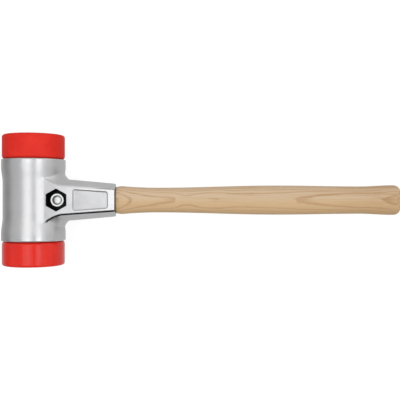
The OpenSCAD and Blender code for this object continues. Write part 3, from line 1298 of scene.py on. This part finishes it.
@dataclass
class SplitHead:
    """The two cast shells with their bores, sockets, pockets and sunk panels."""

    form: CastForm = field(default_factory=CastForm)
    net: float = 0.7
    bore_r: float = 31.1
    bore_floor: float = 24.5
    bore_mouth: float = 0.8
    core_half: float = 19.5
    core_front: float = 13.7
    tenon_w: float = 29.3
    tenon_t: float = 20.3
    tenon_r: float = 5.15
    key_at: Span = (49.85, 58.15)
    key_w: float = 34.3
    key_t: float = 22.3
    hollow_at: Span = (17.7, 54.0)
    hollow_w: float = 29.0
    hollow_t: float = 20.0
    screw_at: float = 34.2
    screw_hole_d: float = 13.0
    pocket_floor: float = 14.35
    pocket_af: float = 25.0
    nut_pocket_af: float = 19.3
    pocket_corner_r: float = 1.0
    pocket_rim: float = 0.3
    panel_len: float = 44.5
    panel_margin: float = 8.4
    panel_border: float = 4.6
    panel_depth: float = 1.2
    panel_corner_r: float = 3.4
    panel_least_r: float = 0.3
    hole_at: Span = (-5.0, 50.0)
    overcut: float = 3.0
    clear_of_flat: float = 60.0
    core_sides: int = 97
    skin_near: float = 0.03
    skin_facing: float = 0.55
    core_spare: float = 2.0
    pocket_spare: float = 2.6
    pocket_floor_spare: float = 0.1
    panel_spare: float = 0.3

    def bores(self) -> list[Blank]:
        """Makes the cutters for the two bores, each with a bevelled mouth.

        Returns:
            The cutters.
        """
        mouth = self.form.barrel_len / 2
        profile = solid(
            (self.bore_r, self.bore_floor),
            (self.bore_r, mouth - self.bore_mouth),
            (self.bore_r + self.bore_mouth + self.overcut, mouth + self.overcut),
        )
        return [turned(profile, 128).along_head(end) for end in End]

    def core(self) -> Blank:
        """Makes the cutter for the hollow between the bores.

        Returns:
            The cutter.
        """
        first = math.acos(self.core_front / self.bore_r)
        angles = np.linspace(first, 2 * math.pi - first, self.core_sides)
        x, z = self.bore_r * np.cos(angles), self.bore_r * -np.sin(angles)
        ends = (-self.core_half, self.core_half)
        rings = [np.column_stack((x, np.full(self.core_sides, y), z)) for y in ends]
        return ringed(rings, capped=True)

    def bar(self, w: float, t: float, start: float, stop: float) -> Blank:
        """Makes a bar along the handle with rounded long edges.

        Args:
            w: Width.
            t: Thickness.
            start: Place of one end.
            stop: Place of the other end.

        Returns:
            The bar.
        """
        corners = [(w / 2, -t / 2), (w / 2, t / 2), (-w / 2, t / 2), (-w / 2, -t / 2)]
        outline = soften([(y, z, self.tenon_r) for y, z in corners], closed=True)
        rings = [np.column_stack((np.full(len(outline), x), outline)) for x in (start, stop)]
        return ringed(rings, capped=True)

    def sockets(self) -> list[Blank]:
        """Returns the cutters for the tenon, its key and the hollow round the screw."""
        start, stop = self.key_at[1] - self.overcut, self.form.neck_reach + self.overcut
        return [
            self.bar(self.tenon_w, self.tenon_t, start, stop),
            self.bar(self.key_w, self.key_t, *self.key_at),
            self.bar(self.hollow_w, self.hollow_t, *self.hollow_at),
        ]

    def pocket(self, across_flats: float) -> Blank:
        """Makes the cutter for a hexagonal pocket, with a fine bevel where it meets the flat.

        Args:
            across_flats: Width of the pocket.

        Returns:
            The cutter.
        """
        outline = hexagon(across_flats, self.pocket_corner_r)
        flared = outline * (1 + 4 * self.pocket_rim / across_flats)
        offset = np.array((self.screw_at, 0.0))
        rings = [level(outline + offset, self.pocket_floor)]
        for ring, over in ((outline, -self.pocket_rim), (flared, self.pocket_rim)):
            rings.append(level(ring + offset, self.form.flat_z(ring[:, 0] + self.screw_at) + over))
        rings.append(level(flared + offset, self.clear_of_flat))
        return ringed(rings, capped=True)

    def panel(self) -> Blank:
        """Makes the cutter for the sunk panel, with sloped walls and a soft rim.

        Returns:
            The cutter.
        """
        right = self.form.neck_reach - self.panel_margin
        left = right - self.panel_len
        low, high = (self.form.flat_half_w(x) - self.panel_border for x in (left, right))
        floor = -self.panel_depth
        wall = ((4.0, floor, 0), (1.5, floor, 0.9), (0.1, -0.06, 0.7), (-0.9, 0.4, 0))
        rings = []
        for inset, depth in soften(wall, steps=5):
            start, stop, narrow, wide = left + inset, right - inset, high - inset, low - inset
            corners = ((start, -wide), (stop, -narrow), (stop, narrow), (start, wide))
            r = max(self.panel_corner_r - inset, self.panel_least_r)
            outline = soften([(x, y, r) for x, y in corners], closed=True)
            rings.append(level(outline, self.form.flat_z(outline[:, 0]) + depth))
        rings.append(level(rings[-1][:, :2], self.clear_of_flat))
        return ringed(rings, capped=True)

    def build(self, half: Half) -> Piece:
        """Makes and dresses one shell.

        Args:
            half: Which shell.

        Returns:
            The piece, on its body.
        """
        word = half.name.lower()
        shell = self.form.skin(self.net).piece(f"{word}_shell")
        hole = turned(solid(*((self.screw_hole_d / 2, z) for z in self.hole_at)), 64)
        pocket = self.pocket(self.pocket_af if half is Half.FRONT else self.nut_pocket_af)
        tools = [*self.bores(), self.core(), *self.sockets()]
        carve(shell, [*tools, hole.moved(x=self.screw_at), pocket, self.panel()])
        if half is Half.REAR:
            shell.data.transform(Matrix.Scale(-1, 4, (0, 0, 1)))
            shell.data.flip_normals()
        self.shade(shell, half)
        finishes = (OUTSIDE, POCKET_SHADE, INSIDE)
        return fit(shell, f"{word}_head", f"{word}_housing_half", finishes)

    def shade(self, shell: Piece, half: Half) -> None:
        """Gives the outside the form's own normals, and numbers the finish of each face.

        Args:
            shell: The carved shell.
            half: Which shell it is.
        """
        smooth(shell)
        mesh = shell.data
        flip = np.array((1, 1, half.value))
        points = read_mesh(mesh.vertices, "co", 3) / MM * flip
        faces = read_mesh(mesh.polygons, "normal", 3) * flip
        corners = read_mesh(mesh.loops, "vertex_index", kind=int)
        starts = read_mesh(mesh.polygons, "loop_start", kind=int)
        split = read_mesh(mesh.corner_normals, "vector", 3)
        normals = self.form.normals(points)
        sizes = np.diff(np.append(starts, len(corners)))
        owner = np.repeat(np.arange(len(starts)), sizes)
        near = np.abs(self.form.distance(points))[corners] < self.skin_near
        facing = (normals[corners] * faces[owner]).sum(axis=1) > self.skin_facing
        outer = np.logical_and.reduceat(near & facing, starts)
        kept = outer[owner]
        split[kept] = (normals[corners] * flip)[kept]
        mesh.normals_split_custom_set(split.tolist())
        x, y, z = (np.add.reduceat(points[corners], starts) / sizes[:, None]).T
        past_core = x > self.core_front + self.core_spare
        in_pocket = np.hypot(x - self.screw_at, y) < self.pocket_af / 2 + self.pocket_spare
        in_pocket &= (z > self.pocket_floor - self.pocket_floor_spare) & past_core
        on_flat = (z > self.form.flat_z(x) - self.panel_depth - self.panel_spare) & past_core
        finish = np.where(outer | on_flat, 0, np.where(in_pocket, 1, 2))
        mesh.polygons.foreach_set("material_index", finish.astype(np.int32))
        mesh.update()


@dataclass
class FaceInsert:
    """A plastic striking face and the shank that the bore holds."""

    face_d: float = 80.0
    seat: float = 53.0
    face_h: float = 31.75
    face_edge_r: float = 3.0
    collar_edge_r: float = 4.4
    shank_d: float = 62.0
    shank_len: float = 28.0
    shank_chamfer: float = 2.0
    foot_edge_r: float = 0.5
    chamfer_edge_r: float = 0.8
    seat_r: float = 0.3
    sides: int = 160

    def build(self, end: End) -> Piece:
        """Turns and dresses one insert.

        Args:
            end: End of the head that it sits in.

        Returns:
            The piece, on its body.
        """
        rim, shank = self.face_d / 2, self.shank_d / 2
        foot, face = self.seat - self.shank_len, self.seat + self.face_h
        corners = (
            (0.0, foot, 0),
            (shank - self.shank_chamfer, foot, self.foot_edge_r),
            (shank, foot + self.shank_chamfer, self.chamfer_edge_r),
            (shank, self.seat, self.seat_r),
            (rim, self.seat, self.collar_edge_r),
            (rim, face, self.face_edge_r),
            (0.0, face, 0),
        )
        word = end.name.lower()
        blank = turned(soften(corners, steps=8), self.sides)
        piece = blank.along_head(end).piece(f"{word}_face")
        smooth(piece)
        finishes = (RED_FACES[end],)
        return fit(piece, f"{word}_insert", f"{word}_face_insert", finishes)


@dataclass
class AshHandle:
    """The oval handle, its tenon and the key that the shells hold."""

    reach: float = 486.5
    start: float = 107.3
    shoulder_r: float = 1.6
    shoulder_bevel: float = 7.5
    shoulder_fall: float = 2.1
    butt_r: float = 8.6
    stations: tuple[float, ...] = (107.3, 161.0, 321.0, 432.0, 477.9)
    widths: tuple[float, ...] = (38.5, 32.6, 38.8, 36.6, 40.0)
    thicknesses: tuple[float, ...] = (31.5, 27.0, 31.5, 29.5, 33.0)
    squareness: float = 2.4
    sides: int = 96
    tenon: tuple[float, float, float] = (58.0, 29.0, 20.0)
    key: tuple[float, float, float] = (50.0, 34.0, 22.0)
    key_bevel: float = 0.8
    tenon_squareness: float = 5.0
    shoulder_curve: float = 1.15
    shoulder_rings: int = 22
    grip_rings: int = 110
    butt_rings: int = 14
    sharp_from: float = 40.0

    def size(self, x: float, values: tuple[float, ...]) -> float:
        """Finds a measure along the handle.

        Args:
            x: Distance from the head axis.
            values: The measure at each station.

        Returns:
            The measure there, without the rounded ends.
        """
        i = min(max(bisect(self.stations, x) - 1, 0), len(self.stations) - 2)
        share = (x - self.stations[i]) / (self.stations[i + 1] - self.stations[i])
        if i == 0:
            return mix(values[1], values[0], (1 - share) ** 2)
        return float(mix(values[i], values[i + 1], ease(share)))

    def oval(self, x: float, w: float, t: float, squareness: float) -> np.ndarray:
        """Draws one section of the handle.

        Args:
            x: Distance from the head axis.
            w: Width.
            t: Thickness.
            squareness: Exponent of the oval, where 2 is an ellipse.

        Returns:
            The points of the section.
        """
        a = np.linspace(0, 2 * np.pi, self.sides, endpoint=False)
        c, s = np.cos(a), np.sin(a)
        y = w / 2 * np.sign(c) * np.abs(c) ** (2 / squareness)
        z = t / 2 * np.sign(s) * np.abs(s) ** (2 / squareness)
        return np.column_stack((np.full(self.sides, x), y, z))

    def section(self, x: float, side_inset: float, face_inset: float) -> np.ndarray:
        """Returns the section of the grip at a place, drawn in at its sides and faces."""
        w, t = self.size(x, self.widths), self.size(x, self.thicknesses)
        return self.oval(x, w - 2 * side_inset, t - 2 * face_inset, self.squareness)

    def build(self) -> Piece:
        """Shapes and dresses the handle.

        Returns:
            The piece, on its body.
        """
        rings = []
        (tenon_at, tenon_w, tenon_t), (key_at, key_w, key_t) = self.tenon, self.key
        for x, w, t, inset in (
            (key_at, key_w, key_t, self.key_bevel),
            (key_at + self.key_bevel, key_w, key_t, 0),
            (tenon_at - self.key_bevel, key_w, key_t, 0),
            (tenon_at, key_w, key_t, self.key_bevel),
            (tenon_at, tenon_w, tenon_t, 0),
            (self.start, tenon_w, tenon_t, 0),
        ):
            rings.append(self.oval(x, w - 2 * inset, t - 2 * inset, self.tenon_squareness))
        for d in self.shoulder_bevel * np.linspace(0, 1, self.shoulder_rings) ** 2:
            lean = math.acos(max(0.0, 1 - d / self.shoulder_r))
            rounding = self.shoulder_r * (1 - math.sin(lean))
            fall = self.shoulder_fall * (1 - d / self.shoulder_bevel) ** self.shoulder_curve
            rings.append(self.section(self.start + d, rounding + fall, rounding + fall / 2))
        grip = (self.start + self.shoulder_bevel, self.reach - self.butt_r)
        rings += [self.section(x, 0.0, 0.0) for x in np.linspace(*grip, self.grip_rings)[1:]]
        for a in np.linspace(0, math.pi / 2, self.butt_rings)[1:]:
            inset = self.butt_r * (1 - math.cos(a))
            rings.append(self.section(self.reach - self.butt_r * (1 - math.sin(a)), inset, inset))
        piece = ringed(rings, capped=True).piece("ash_handle")
        smooth(piece, self.sharp_from)
        return fit(piece, "rear_head", "handle", (ASH,))


@dataclass
class ClampScrew:
    """The socket-head screw with its washer, nut and locking ring."""

    screw_at: float = 34.2
    screw_d: float = 12.0
    root_d: float = 10.1
    pitch: float = 1.75
    thread_len: float = 30.0
    tip: float = -28.15
    tip_chamfer: float = 1.2
    head_seat: float = 16.85
    head_d: float = 18.0
    head_h: float = 7.0
    head_edge: float = 0.9
    head_grips: int = 32
    grip_depth: float = 0.16
    key_af: float = 10.0
    key_depth: float = 5.0
    drill_share: float = 0.97
    drill_point: float = 1.2
    thread_crest: float = 0.125
    thread_flank: float = 0.625
    thread_steps: int = 8
    washer_d: float = 24.0
    washer_t: float = 2.5
    hole_d: float = 13.0
    nut_seat: float = 14.35
    nut_af: float = 19.0
    nut_h: float = 12.0
    collar_h: float = 3.2
    nut_bore_r: float = 6.05
    ring_r: float = 7.4
    ring_h: float = 2.4
    ring_play: float = 0.02
    ring_sides: int = 72
    sides: int = 96

    def thread_r(self, z: float, angles: np.ndarray) -> np.ndarray:
        """Finds the radius of the threaded shank.

        Args:
            z: Height along the screw.
            angles: Directions round it.

        Returns:
            The radius in each direction.
        """
        crest, root = self.screw_d / 2, self.root_d / 2
        turn = (z / self.pitch - angles / (2 * np.pi)) % 1.0
        off_crest = np.abs(turn - 0.5) * 2 - self.thread_crest
        flank = np.clip(off_crest / self.thread_flank, 0, 1)
        fade = np.clip((self.tip + self.thread_len - z) / self.pitch, 0, 1)
        radius = crest - (crest - root) * (1 - flank) * fade
        return np.minimum(radius, crest - self.tip_chamfer + (z - self.tip))

    def screw(self) -> Piece:
        """Makes the screw with its thread, gripped head and key socket.

        Returns:
            The piece, on its body.
        """
        angles = np.linspace(0, 2 * np.pi, self.sides, endpoint=False)
        top = self.head_seat + self.head_h
        grips = self.grip_depth * (0.5 - 0.5 * np.cos(self.head_grips * angles))
        layers: list[tuple[float, Any]] = []
        step = self.pitch / self.thread_steps
        for z in np.arange(self.tip, self.tip + self.thread_len, step):
            layers.append((z, self.thread_r(z, angles)))
        crest, head, seat = self.screw_d / 2, self.head_d / 2, self.head_seat
        layers += [
            (seat - 0.5, crest),
            (seat, crest + 0.4),
            (seat, head - 0.7),
            (seat + 0.4, head - 0.2),
            (seat + 0.8, head - grips),
            (top - self.head_edge - 0.9, head - grips),
        ]
        for a in np.linspace(0, math.pi / 2, 6):
            z = top - self.head_edge * (1 - math.sin(a))
            layers.append((z, head - 0.2 - self.head_edge * (1 - math.cos(a))))
        tip, crown = (np.array(((0.0, 0.0, z),)) for z in (self.tip, top))
        blank = ringed([tip, *(circle(r, z, angles) for z, r in layers), crown])
        piece = blank.moved(x=self.screw_at).piece("cap_screw")
        socket = hexagon(self.key_af)
        floor, half = top - self.key_depth, self.key_af / 2
        r, point = half * self.drill_share, floor - self.drill_point
        drill = ((0, point), (r, floor + 0.3), (r, floor + 1.0), (0, floor + 1.0))
        tools = [
            ringed([level(socket, floor), level(socket, top + 2)], capped=True),
            turned(np.array(drill)),
            turned(solid((half - 0.1, top - 1.3), (half + 2.0, top + 0.8))),
        ]
        carve(piece, [tool.moved(x=self.screw_at) for tool in tools])
        smooth(piece)
        return fit(piece, "screw", "clamp_screw", (ZINC,))

    def washer(self) -> Piece:
        """Makes the black washer under the head.

        Returns:
            The piece, on its body.
        """
        radii = (self.hole_d / 2, self.washer_d / 2)
        heights = (self.nut_seat, self.nut_seat + self.washer_t)
        blank = hoop(radii, heights, (0.2, 0.3, 0.5, 0.4), 4, self.sides)
        piece = blank.moved(x=self.screw_at).piece("seat_washer")
        smooth(piece)
        return fit(piece, "front_head", "clamp_washer", (BLACKED,))

    def nut(self) -> Piece:
        """Makes the nut with its bevelled corners and open collar.

        Returns:
            The piece, on its body.
        """
        corner = self.nut_af / math.sqrt(3)
        hex_h = self.nut_h - self.collar_h
        collar = self.nut_af / 2 - 1
        outline = hexagon(self.nut_af, 0.4)
        block = ringed([level(outline, 0.0), level(outline, hex_h)], capped=True).mirrored()
        made = block.moved(x=self.screw_at, z=-self.nut_seat).piece("lock_nut")
        bevel = solid(
            (corner - 1.9, -0.7),
            (corner + 0.5, 0.7),
            (corner + 0.5, hex_h - 0.9),
            (corner - 2.5, hex_h + 0.9),
        )
        sleeve = soften(((0, 1, 0), (collar, 1, 0), (collar, self.nut_h, 0.6), (0, self.nut_h, 0)))
        r, past = self.nut_bore_r, self.nut_h + 1
        bore = solid((r + 1.5, -1), (r, 0.6), (r, past))
        recess = solid((self.ring_r, self.nut_h - self.ring_h), (self.ring_r, past))
        for profile, cut in (
            (bevel, Cut.SHARED),
            (sleeve, Cut.JOINED),
            (bore, Cut.AWAY),
            (recess, Cut.AWAY),
        ):
            tool = turned(profile).mirrored().moved(x=self.screw_at, z=-self.nut_seat)
            carve(made, [tool], cut)
        smooth(made)
        return fit(made, "rear_head", "clamp_nut", (ZINC,))

    def lock_ring(self) -> Piece:
        """Makes the plastic ring in the collar of the nut.

        Returns:
            The piece, on its body.
        """
        low = -self.nut_seat - self.nut_h
        radii = (self.nut_bore_r, self.ring_r - self.ring_play)
        blank = hoop(radii, (low, low + self.ring_h), (0.3, 0.2, 0.2, 0.3), 3, self.ring_sides)
        piece = blank.moved(x=self.screw_at).piece("lock_ring")
        smooth(piece)
        return fit(piece, "rear_head", "nut_locking_ring", (BLUE_RING,))

    def build(self) -> list[Piece]:
        """Makes the screw, washer, nut and locking ring."""
        return [self.screw(), self.washer(), self.nut(), self.lock_ring()]


@dataclass
class Softbox:
    """A square of soft light above the table."""

    name: str
    centre: tuple[float, float, float]
    size: tuple[float, float]
    radiance: float

    def build(self) -> Piece:
        """Hangs the light, facing down.

        Returns:
            The lamp.
        """
        lamp = bpy.data.lights.new(self.name, "AREA")
        lamp.shape = "RECTANGLE"
        lamp.size, lamp.size_y = self.size
        lamp.energy = self.radiance * math.pi * self.size[0] * self.size[1]
        made = bpy.data.objects.new(self.name, lamp)
        made.location = self.centre
        made.visible_camera = False
        bpy.context.scene.collection.objects.link(made)
        return made


@dataclass
class Studio:
    """The white table, the light and the camera over the hammer."""

    table_size: float = 40.0
    table_white: float = 0.85
    table_gloss: float = 0.66
    # painted shadow: the table's glow is dimmed beyond the head, beyond the lower face and at the
    # barrel's foot
    table_gloss_shaded_left: float = 0.23
    table_gloss_shaded_near: float = 0.15
    table_diffuse: float = 0.25
    table_foot_shadow: float = 0.85
    table_near_shade: float = 0.9
    left_at: Span = (-0.44, -0.24)
    near_at: Span = (-0.50, -0.20)
    foot_shadow_from: Span = (-0.31, -0.275)
    foot_shadow_to: Span = (-0.25, -0.24)
    sky: float = 0.79
    sky_up_head: float = 0.15
    sky_right: tuple[float, float, float] = (0.08, 0.13, 0.30)
    sky_left: float = 0.42
    sky_top: float = 0.24
    sky_dark: float = 0.28
    dark_near: Span = (-0.38, -0.30)
    dark_top: Span = (0.88, 0.96)
    dark_slant: float = 0.75
    dark_right: Span = (-0.08, 0.08)
    dark_left: Span = (-0.55, -0.40)
    dark_low: Span = (-0.94, -0.80)
    dark_low_share: float = 0.62
    left_from: Span = (-0.95, -0.55)
    left_top: Span = (0.0, 0.45)
    overhead_from: Span = (0.9, 0.985)
    up_head_from: Span = (0.0, 0.8)
    right_from: Span = (0.60, 0.70)
    right_back: Span = (-0.05, 0.20)
    right_end: Span = (0.70, 0.92)
    lens: float = 58.5
    sensor: float = 36.0
    eye: tuple[float, float, float] = (-0.0049, 0.0001, 0.892)
    softboxes: tuple[Softbox, ...] = (
        Softbox("left_softbox", (-0.335, 0.0, 0.95), (0.61, 0.66), 1.18),
        Softbox("left_core", (-0.31, 0.0, 0.949), (0.18, 0.66), 0.7),
        Softbox("right_softbox", (0.33, 0.0, 0.95), (0.46, 0.66), 1.01),
        Softbox("right_core", (0.36, 0.0, 0.949), (0.18, 0.66), 0.65),
    )

    def table(self) -> Piece:
        """Makes the table top, with painted shadow in its glow near the hammer.

        Returns:
            The staged plane.
        """
        half = self.table_size / 2
        mesh = bpy.data.meshes.new("white_table")
        corners = [(-half, -half, 0), (half, -half, 0), (half, half, 0), (-half, half, 0)]
        mesh.from_pydata(corners, [], [(0, 1, 2, 3)])
        made = bpy.data.objects.new("white_table", mesh)
        bpy.context.scene.collection.objects.link(made)
        paint = bpy.data.materials.new("white_table_top")
        paint.use_nodes = True
        board = NodeBoard(paint.node_tree)
        path = board.put("ShaderNodeLightPath").outputs
        x, y, _ = board.axes(board.put("ShaderNodeNewGeometry").outputs["Position"])
        # painted shadow: dimmer table beyond the lower face, beyond the head and at the barrel's
        # foot
        near = board.fade(y, *self.near_at)
        foot = board.product(board.spread(x, *self.foot_shadow_from), board.fade(x, *self.foot_shadow_to))
        seen = board.product(
            board.calc("MAXIMUM", path["Is Glossy Ray"], path["Is Transmission Ray"]),
            board.spread(x, *self.left_at, self.table_gloss_shaded_left, self.table_gloss),
            board.calc("MULTIPLY_ADD", near, self.table_gloss_shaded_near - 1, 1.0),
            board.calc("MULTIPLY_ADD", foot, -self.table_foot_shadow, 1.0),
        )
        seen = board.product(board.calc("MAXIMUM", seen, path["Is Camera Ray"]), self.table_white)
        glow = board.put("ShaderNodeEmission", {"Color": (1.0, 1.0, 1.0, 1.0), "Strength": seen})
        near_shade = board.product(near, path["Is Glossy Ray"], -self.table_near_shade * self.table_diffuse)
        grey = board.calc("ADD", near_shade, self.table_diffuse)
        cloth = board.put("ShaderNodeBsdfDiffuse", {"Color": grey})
        both = board.put("ShaderNodeAddShader", {0: glow.outputs[0], 1: cloth.outputs[0]})
        board.put("ShaderNodeOutputMaterial", {"Surface": both.outputs[0]})
        mesh.materials.append(paint)
        return made

    def room(self) -> None:
        """Lights the room, darkest beyond the lower face, dimmer overhead and beyond the head."""
        world = bpy.data.worlds.new("studio_room")
        world.use_nodes = True
        bpy.context.scene.world = world
        board = NodeBoard(world.node_tree)
        x, y, z = board.axes(board.put("ShaderNodeTexCoord").outputs["Generated"])
        path = board.put("ShaderNodeLightPath").outputs
        near = board.product(
            board.fade(y, *self.dark_near),
            board.fade(z, *self.dark_top),
            board.fade(board.calc("MULTIPLY_ADD", y, self.dark_slant, x), *self.dark_right),
            board.spread(x, *self.dark_left),
            board.spread(y, *self.dark_low, self.dark_low_share, 1.0),
            path["Is Glossy Ray"],
        )
        left = board.product(board.fade(x, *self.left_from), board.fade(z, *self.left_top))
        overhead = board.spread(z, *self.overhead_from)
        up_head = board.spread(y, *self.up_head_from)
        light = board.calc("MULTIPLY_ADD", up_head, self.sky_up_head, self.sky)
        wide, back, glow = self.sky_right
        right = board.spread(y, *self.right_back, wide, wide + back)
        right = board.calc("ADD", right, board.spread(x, *self.right_end, glow, 0.0))
        light = board.calc("MULTIPLY_ADD", board.spread(x, *self.right_from), right, light)
        for share, there in (
            (near, self.sky_dark),
            (left, self.sky_left),
            (overhead, self.sky_top),
        ):
            light = board.calc("MULTIPLY_ADD", share, there - self.sky, light)
        light = board.calc("MAXIMUM", light, path["Is Camera Ray"])
        sky = board.put("ShaderNodeBackground", {"Color": light, "Strength": 1.0})
        board.put("ShaderNodeOutputWorld", {"Surface": sky.outputs[0]})

    def camera(self) -> Piece:
        """Hangs the camera over the hammer, looking straight down.

        Returns:
            The camera.
        """
        data = bpy.data.cameras.new("camera")
        data.sensor_width = self.sensor
        data.lens = self.lens
        data.clip_start, data.clip_end = 0.01, 50.0
        made = bpy.data.objects.new("camera", data)
        made.location = self.eye
        bpy.context.scene.collection.objects.link(made)
        bpy.context.scene.camera = made
        return made

    def build(self) -> None:
        """Sets up the table, the light and the camera."""
        bpy.context.scene.view_settings.view_transform = "Standard"
        self.table()
        self.room()
        for softbox in self.softboxes:
            softbox.build()
        self.camera()


def main() -> None:
    """Builds the hammer and its studio."""
    logging.basicConfig(level=logging.INFO, format="%(name)s %(message)s")
    Studio().build()
    head = SplitHead()
    made = [head.build(half) for half in Half]
    insert = FaceInsert()
    made += [insert.build(end) for end in End]
    made.append(AshHandle().build())
    made += ClampScrew().build()
    LOG.info("%d pieces", len(made))


if __name__ == "__main__":
    main()
